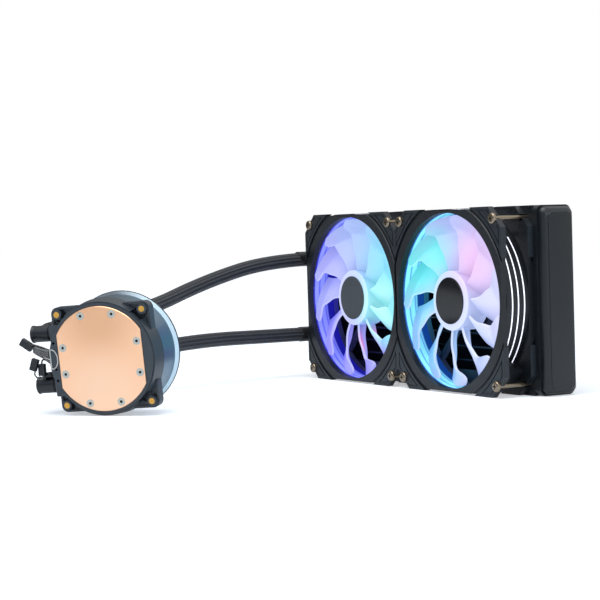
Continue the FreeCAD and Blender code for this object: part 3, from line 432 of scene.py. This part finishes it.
# Painted shade for the screws' sockets
socket_shade = material("socket_shade", "3a382f", metallic=0.5, roughness=0.5)
bronze_screw = material("bronze_screw", "8f8270", metallic=1.0, roughness=0.26)
satin_metal = material("satin_metal", "647b8c", metallic=0.9, roughness=0.34)
steel = material("steel", "b9babd", metallic=1.0, roughness=0.25)
winding = material("winding", "a86a3a", metallic=0.7, roughness=0.4)
board = material("board", "14301f", roughness=0.45)
braid = braided("braid")
shrink = grain(material("shrink", "0f1114", roughness=0.36), 0.0008, 0.1)
wire_black = material("wire_black", "14161a", roughness=0.2, Coat_Weight=1.0, Coat_Roughness=0.12,
                      Coat_IOR=1.8)
wire_bright = material("wire_bright", "b9bab6", metallic=0.6, roughness=0.35)
line_white = material("line_white", "f2f3ff", roughness=0.3, Emission_Color=colour("f2f3ff"),
                      Emission_Strength=1.0)
pump_glow = uneven_glow("pump_glow")

# Where the lights under the hubs tint the blades: place, colour and reach
left_places = (
    (fan_place("left", -0.7, 0.5), "b2b4fd", wide),
    (fan_place("left", 0.1, 0.9), "afc6fc", wide),
    (fan_place("left", 0.75, 0.4), "8ce6ff", wide),
    (fan_place("left", 0.7, -0.4), "55f2fb", wide),
    (fan_place("left", -0.6, -0.6), "9c97fb", wide),
    (fan_place("left", 0.25, -0.8), "a9a6fa", wide),
    (fan_place("left", 0.50, -0.12), "b4fffe", close * 1.7),
    (fan_place("left", 0.10, -0.52), "f58fd0", close * 0.7),
)
right_places = (
    (fan_place("right", -0.8, 0.4), "6ceef0", wide),
    (fan_place("right", -0.1, 0.9), "b5c6fb", wide),
    (fan_place("right", 0.6, 0.7), "d2cafb", wide),
    (fan_place("right", 0.9, -0.1), "dcdcfd", wide),
    (fan_place("right", 0.3, -0.9), "c4d0fb", wide),
    (fan_place("right", -0.7, -0.6), "8bc6fb", wide),
    (fan_place("right", 0.35, 0.42), "f3c6f4", close * 1.5),
    (fan_place("right", -0.38, 0.50), "7af5f3", close * 1.3),
)
blades = {
    "left": lit_plastic("left_blades", "b9c6fc", left_places, blade_glow),
    "right": lit_plastic("right_blades", "bccffc", right_places, blade_glow),
}
# Painted highlight on the blades' rims and the hub fronts: whitened, and less deepened by painted shade
rims = {
    "left": lit_plastic("left_rims", "c4cffc", left_places, blade_glow, deepen=rim_deepen, whiten=0.2),
    "right": lit_plastic("right_rims", "c8d6fc", right_places, blade_glow, deepen=rim_deepen, whiten=0.25),
}
sleeves = {
    "left": banded_sleeve("left_sleeve", "1a1a90", "838bf2", sleeve_glow),
    "right": banded_sleeve("right_sleeve", "123f86", "88daf9", sleeve_glow),
}
duct_glows = {
    "left": lit_plastic("left_duct_glow", "06070d", (
        (fan_place("left", -0.9, 0.35), "201cc8", wide), (fan_place("left", 0.9, -0.5), "10306a", close),
    ), duct_glow, deepen=duct_deepen),
    "right": lit_plastic("right_duct_glow", "05070c", (
        (fan_place("right", -0.9, 0.2), "0e6a8c", wide), (fan_place("right", 0.9, -0.25), "2a20e0", close),
    ), duct_glow, deepen=duct_deepen),
}

looks = {
    "black_paint": black_paint, "black_plastic": black_plastic, "black_rubber": pad_rubber,
    "board": board, "braid": braid, "brass": brass, "cable_black": wire_black, "copper": copper,
    "light_line": line_white, "magnet": black_paint, "nickel": nickel, "satin_metal": satin_metal,
    "steel": steel, "translucent_plastic": pump_glow, "winding": winding, "wire_tie": wire_bright,
}
own_looks = {
    "left_hub_cap": hub_grey, "right_hub_cap": hub_black, "fan_screws": bronze_screw,
    "left_impeller": blades["left"], "right_impeller": blades["right"],
    "mounting_ring": ring_plastic, "pump_body": ring_plastic,
    "upper_pump_collar": shrink, "lower_pump_collar": shrink,
    "upper_port_collar": shrink, "lower_port_collar": shrink,
}


def dress_nodes():
    """Each solid that stays gets the look of its slot, or one of its own."""
    slots = {part["node"]: part["material_slot"] for part in frame["record"]["subparts"]}
    for name, node in nodes.items():
        look = own_looks.get(name, looks[slots[name]])
        node.data.materials.clear()
        node.data.materials.append(look)


def dress_light_rings():
    """The sleeve inside the duct glows in the fan's colours; its ribs outside are the white lines.

    The duct's own wall behind the sleeve takes a deep glow on the side where the light falls.
    """
    for side in ("left", "right"):
        middle = fan_centres[side]
        for kind, behind, look in (("_light_ring", -1.0, sleeves), ("_fan_frame", sleeve_deep, duct_glows)):
            mesh = nodes[side + kind].data
            mesh.materials.append(look[side])
            for face in mesh.polygons:
                away = face.center - middle
                inside = math.hypot(away.x, away.z) < duct_glow_r and away.y > behind
                if inside and abs(face.normal.y) < facing_side:
                    face.material_index = 1


def small_patches(mesh, largest, bend):
    """The faces of each smooth patch whose area is small, such as the rim of a blade."""
    work = bmesh.new()
    work.from_mesh(mesh)
    numbers = work.faces.layers.int.new("number")
    for number, face in enumerate(work.faces):
        face[numbers] = number
    bmesh.ops.remove_doubles(work, verts=work.verts, dist=1e-6)
    found = []
    reached = set()
    for first in work.faces:
        if first in reached:
            continue
        reached.add(first)
        patch = [first]
        for face in patch:
            for edge in face.edges:
                if not edge.is_manifold or edge.calc_face_angle(math.pi) > bend:
                    continue
                for beside in edge.link_faces:
                    if beside not in reached:
                        reached.add(beside)
                        patch.append(beside)
        if sum(face.calc_area() for face in patch) < largest:
            found += [face[numbers] for face in patch]
    work.free()
    return found


def dress_impellers():
    """The blades' thin rims and the hub's front glow paler than the blades, as a painted highlight."""
    for side in ("left", "right"):
        mesh = nodes[side + "_impeller"].data
        mesh.materials.append(rims[side])
        for number in small_patches(mesh, rim_area, patch_bend):
            mesh.polygons[number].material_index = 1
        for face in mesh.polygons:
            away = face.center - fan_centres[side]
            if math.hypot(away.x, away.z) < hub_radius and face.normal.y < -facing_front:
                face.material_index = 1


def dress_plate_screws():
    """What lies below the screws' faces is painted dark, as painted shade in the sockets."""
    screws = nodes["plate_screws"]
    screws.data.materials.append(socket_shade)
    for face in screws.data.polygons:
        depth = (pump_centre - face.center).dot(pump_out)
        if depth > socket_start and face.normal.dot(pump_out) > -facing_side:
            face.material_index = 1


def new_mesh(name, verts, faces, look, body, smooth=True):
    """A mesh object that rides on the body, if one is named."""
    data = bpy.data.meshes.new(name)
    data.from_pydata([tuple(v) for v in verts], [], faces)
    data.update()
    made = bpy.data.objects.new(name, data)
    scene.collection.objects.link(made)
    data.materials.append(look)
    for face in data.polygons:
        face.use_smooth = smooth
    if body:
        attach(made, body)
    return made


def spline(name, route, order=3):
    """A smooth open line whose control points are the route's."""
    data = bpy.data.curves.new(name, "CURVE")
    data.dimensions = "3D"
    data.resolution_u = 16
    line = data.splines.new("NURBS")
    line.points.add(len(route) - 1)
    for point, place in zip(line.points, route):
        point.co = (*place, 1.0)
    line.order_u = order
    line.use_endpoint_u = True
    made = bpy.data.objects.new(name, data)
    scene.collection.objects.link(made)
    return made


def along(name, route):
    """Points read from the route's spline."""
    guide = spline(name + "_guide", route)
    sampled = bpy.data.meshes.new_from_object(guide)
    points = [v.co.copy() for v in sampled.vertices]
    bpy.data.objects.remove(guide)
    bpy.data.meshes.remove(sampled)
    return points


def tube(name, path, radius, sides, look, step):
    """A round tube along a path, with a map that runs round it and along it."""
    verts = []
    lengths = [0.0]
    normal = None
    for i, point in enumerate(path):
        before = path[max(i - 1, 0)]
        after = path[min(i + 1, len(path) - 1)]
        heading = (after - before).normalized()
        if normal is None:
            normal = heading.orthogonal().normalized()
        normal = (normal - heading * normal.dot(heading)).normalized()
        other = heading.cross(normal)
        for k in range(sides):
            angle = 2 * math.pi * k / sides
            verts.append(point + (normal * math.cos(angle) + other * math.sin(angle)) * radius)
        if i:
            lengths.append(lengths[-1] + (point - path[i - 1]).length)
    faces = []
    maps = []
    for i in range(len(path) - 1):
        for k in range(sides):
            n = (k + 1) % sides
            faces.append((i * sides + k, i * sides + n, (i + 1) * sides + n, (i + 1) * sides + k))
            low, high = lengths[i] / step, lengths[i + 1] / step
            left, right = k / sides, (k + 1) / sides
            maps += [(left, low), (right, low), (right, high), (left, high)]
    made = new_mesh(name, verts, faces, look, None)
    layer = made.data.uv_layers.new(name="UVMap")
    for corner, place in zip(layer.data, maps):
        corner.uv = place
    return made


def rounded_outline(x, inset, corner):
    """A round-cornered upright rectangle inside the radiator's outline, at one place along it."""
    points = []
    side = rad_depth / 2 - inset - corner
    rise = rad_width / 2 - inset - corner
    for quarter in range(4):
        for step in range(round_steps + 1):
            angle = math.pi / 2 * (quarter + step / round_steps)
            y = (side if quarter in (0, 3) else -side) + corner * math.cos(angle)
            z = (rise if quarter in (0, 1) else -rise) + corner * math.sin(angle)
            points.append((x, y, rad_width / 2 + z))
    return points


def rounded_shell(name, places, node):
    """A closed shell through round-cornered outlines, each given by its place, inset and corner."""
    loops = [rounded_outline(*place) for place in places]
    count = len(loops[0])
    verts = [point for loop in loops for point in loop]
    faces = [tuple(range(count)), tuple(range(len(verts) - count, len(verts)))]
    for row in range(len(loops) - 1):
        for i in range(count):
            n = (i + 1) % count
            faces.append((row * count + i, row * count + n, (row + 1) * count + n, (row + 1) * count + i))
    shell = new_mesh(name, verts, faces, black_paint, "cooler_body")
    work = bmesh.new()
    work.from_mesh(shell.data)
    bmesh.ops.recalc_face_normals(work, faces=work.faces)
    work.to_mesh(shell.data)
    work.free()
    shell.data.set_sharp_from_angle(angle=sharp_angle)
    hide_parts(node)


def rounded_headers():
    """The dish at each end of the core, with the round corners that a pressed plate has."""
    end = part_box("header_plates")[1].x
    dish = end - header_reach + header_thick
    inner = header_round - header_wall
    for name, sign in (("right_header", 1), ("left_header", -1)):
        outside = [(sign * x, 0.0, header_round) for x in (end - header_reach, end)]
        inside = [(sign * x, header_wall, inner) for x in (end, dish)]
        rounded_shell(name, outside + inside, "header_plates")


def rounded_tank():
    """The plain tank: a soft brim, round corners and the raised panel at its end."""
    low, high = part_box("right_tank")
    brim = high.x - panel_raise
    places = [(low.x, low.z, header_round)]
    for step in range(round_steps + 1):
        angle = math.pi / 2 * step / round_steps
        inset = tank_round * (1 - math.cos(angle))
        if inset < panel_inset:
            places.append((brim - tank_round * (1 - math.sin(angle)), low.z + inset, header_round))
    inset = low.z + panel_inset
    places.append((brim - panel_foot, inset, panel_round))
    for drop, draw_in in ((0.5, 0.0), (0.15, panel_ease), (0.0, panel_brim)):
        places.append((high.x - drop * panel_raise, inset + draw_in, panel_round))
    rounded_shell("rounded_tank", places, "right_tank")


def fine_fins():
    """The folded strip between each two tubes, with folds as close as the real ones."""
    low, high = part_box("radiator_fins")
    rows = tube_rows + 1
    height = (rad_width - 2 * plate_wall - tube_rows * tube_thick) / rows
    count = round((high.x - low.x) / fin_pitch) * 2
    verts = []
    faces = []
    for row in range(rows):
        bottom = plate_wall + row * (height + tube_thick)
        first = len(verts)
        for i in range(count + 1):
            x = low.x + (high.x - low.x) * i / count
            z = bottom + (height if i % 2 else 0.0)
            verts.append((x, low.y, z))
            verts.append((x, high.y, z))
        for i in range(count):
            a = first + 2 * i
            faces.append((a, a + 2, a + 3, a + 1))
    fins = new_mesh("fine_fins", verts, faces, black_paint, "cooler_body", smooth=False)
    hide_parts("radiator_fins")


def hoses():
    """Each hose bends between its elbow and the radiator."""
    for side, route in hose_routes.items():
        points = [Vector(p) * MM for p in route]
        path = along(side + "_hose", points)
        hose = tube(side + "_braided_hose", path, hose_radius, hose_sides, braid, braid_step)
        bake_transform(hose)
        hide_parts(side + "_hose")


def beside_block(out, up, depth):
    """A point beside the port block: out from its face, up, and behind the plate, in millimetres."""
    aside = pump_across * -(block_face + out) * MM
    return pump_centre + aside + pump_above * up * MM - pump_out * depth * MM


def hank_points():
    """The long middle of the power cable: oblong turns side by side, narrower where they fold."""
    points = []
    last = hank_turns * hank_turn_points
    for i in range(last + 1):
        turn = 2 * math.pi * i / hank_turn_points
        c = math.cos(turn)
        share = 0.5 + 0.5 * math.copysign(abs(c) ** hank_squareness, c)
        low = hank_low + hank_low_rise * share
        high = hank_high + hank_high_rise * share
        up = low + (high - low) * i / last
        points.append((hank_start + hank_length * share, up, hank_depth - hank_half * math.sin(turn)))
    return points


def wires():
    """The pump's power wire, folded and tied, and its light wire, each with its plugs."""
    routes = {"power": power_start + tuple(hank_points()) + power_end, "light": light_route}
    replaced = {"power": ("power_cable", "power_cable_hank"), "light": ("light_cable",)}
    for name, local in routes.items():
        route = [beside_block(*p) for p in local]
        path = along(name + "_wire", route)
        wire = spline(name + "_wire", route)
        wire.data.bevel_depth = wire_thick / 2
        wire.data.bevel_resolution = 4
        wire.data.materials.append(wire_black)
        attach(wire, "cooler_body")
        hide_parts(*replaced[name])


def make_camera():
    """The camera stands round and above its target by the two angles, and is rolled a little."""
    azimuth, elevation, roll = (math.radians(a) for a in (camera_azimuth, camera_elevation, camera_roll))
    back = Vector((math.sin(azimuth) * math.cos(elevation), -math.cos(azimuth) * math.cos(elevation),
                   math.sin(elevation)))
    right = (-back).cross(Vector((0, 0, 1))).normalized()
    up = right.cross(-back)
    rolled_right = right * math.cos(roll) + up * math.sin(roll)
    rolled_up = up * math.cos(roll) - right * math.sin(roll)
    turn = Matrix((rolled_right, rolled_up, back)).transposed()
    data = bpy.data.cameras.new("camera")
    data.lens = camera_focal
    data.sensor_width = camera_sensor
    data.clip_start = 0.01
    camera = bpy.data.objects.new("camera", data)
    camera.matrix_world = Matrix.Translation(camera_target + back * camera_distance) @ turn.to_4x4()
    scene.collection.objects.link(camera)
    scene.camera = camera


def area_light(name, place, aim, size, power, code="ffffff"):
    """A soft lamp that faces its aim."""
    data = bpy.data.lights.new(name, "AREA")
    data.shape = "RECTANGLE"
    data.size, data.size_y = size
    data.energy = power
    data.color = colour(code)[:3]
    light = bpy.data.objects.new(name, data)
    light.location = place
    light.rotation_euler = (Vector(place) - Vector(aim)).to_track_quat("Z", "Y").to_euler()
    scene.collection.objects.link(light)


def add_math(tree, kind, *values):
    """A sum or product of numbers and of other nodes' outputs."""
    made = tree.nodes.new("ShaderNodeMath")
    made.operation = kind
    for entry, value in zip(made.inputs, values):
        if isinstance(value, float):
            entry.default_value = value
        else:
            tree.links.new(value, entry)
    return made.outputs["Value"]


def seen_as(tree, plain, mirrored, other):
    """A number for all light, with what the camera and what mirrors see above or below it."""
    seen = tree.nodes.new("ShaderNodeLightPath")
    clear = add_math(tree, "ADD", seen.outputs["Is Camera Ray"], seen.outputs["Is Transmission Ray"])
    direct = add_math(tree, "MULTIPLY", clear, plain)
    glossy = add_math(tree, "MULTIPLY", seen.outputs["Is Glossy Ray"], mirrored)
    return add_math(tree, "ADD", add_math(tree, "ADD", direct, glossy), other)


def make_world():
    """Even light all round; mirrors show it bright above and to the right and dim in front."""
    world = bpy.data.worlds.new("studio")
    scene.world = world
    world.use_nodes = True
    tree = world.node_tree
    shade = tree.nodes["Background"]
    shade.inputs["Color"].default_value = (1, 1, 1, 1)
    place = tree.nodes.new("ShaderNodeTexCoord")
    split = tree.nodes.new("ShaderNodeSeparateXYZ")
    tree.links.new(place.outputs["Generated"], split.inputs["Vector"])
    shares = []
    for axis, start, end, gain in mirror_rises:
        share = tree.nodes.new("ShaderNodeMapRange")
        share.interpolation_type = "SMOOTHSTEP"
        share.inputs["From Min"].default_value = start
        share.inputs["From Max"].default_value = end
        share.inputs["To Max"].default_value = gain
        tree.links.new(split.outputs[axis], share.inputs["Value"])
        shares.append(share.outputs["Result"])
    mirrored = add_math(tree, "ADD", add_math(tree, "ADD", shares[0], shares[1]), shares[2])
    mirrored = add_math(tree, "ADD", mirrored, mirror_base - world_light)
    level = seen_as(tree, 1.0 - world_light, mirrored, world_light)
    tree.links.new(level, shade.inputs["Strength"])


def make_floor():
    """A pale floor that keeps the shadow near the object and turns white far away."""
    corners = [(x * floor_half, y * floor_half, 0) for x, y in ((-1, -1), (1, -1), (1, 1), (-1, 1))]
    look = material("floor", "e9f3fd", roughness=0.6, Specular_IOR_Level=0.0, Emission_Color=(1, 1, 1, 1))
    shader = look.node_tree.nodes["Principled BSDF"]
    place = add(look, "ShaderNodeNewGeometry")
    away = add(look, "ShaderNodeVectorMath", operation="LENGTH")
    link(look, place, "Position", away, 0)
    plain = add(look, "ShaderNodeMapRange", interpolation_type="SMOOTHSTEP")
    plain.inputs["From Min"].default_value = floor_near_reach
    plain.inputs["From Max"].default_value = floor_far_reach
    plain.inputs["To Min"].default_value = floor_near
    plain.inputs["To Max"].default_value = floor_far
    link(look, away, "Value", plain, "Value")
    level = seen_as(look.node_tree, plain.outputs["Result"], floor_mirrored, 0.0)
    look.node_tree.links.new(level, shader.inputs["Emission Strength"])
    data = bpy.data.meshes.new("floor")
    data.from_pydata(corners, [], [(0, 1, 2, 3)])
    floor = bpy.data.objects.new("floor", data)
    floor.location.z = -floor_drop
    data.materials.append(look)
    scene.collection.objects.link(floor)


def make_lamps():
    """One large lamp above, and weaker cool ones in front and to the right."""
    area_light("top", (0.2, -0.4, 1.3), (0, -0.1, 0.05), (1.1, 1.1), 13)
    area_light("front", (0.3, -1.5, 1.0), (-0.05, -0.15, 0.05), (0.8, 0.6), 3, "c9deff")
    area_light("right", (1.5, -0.1, 0.5), (0, -0.2, 0.05), (0.5, 0.9), 4, "d5e6ff")


make_camera()
hoses()
wires()
dress_nodes()
dress_light_rings()
dress_impellers()
dress_plate_screws()
rounded_headers()
rounded_tank()
fine_fins()
make_world()
make_floor()
make_lamps()
scene.view_settings.view_transform = "Standard"
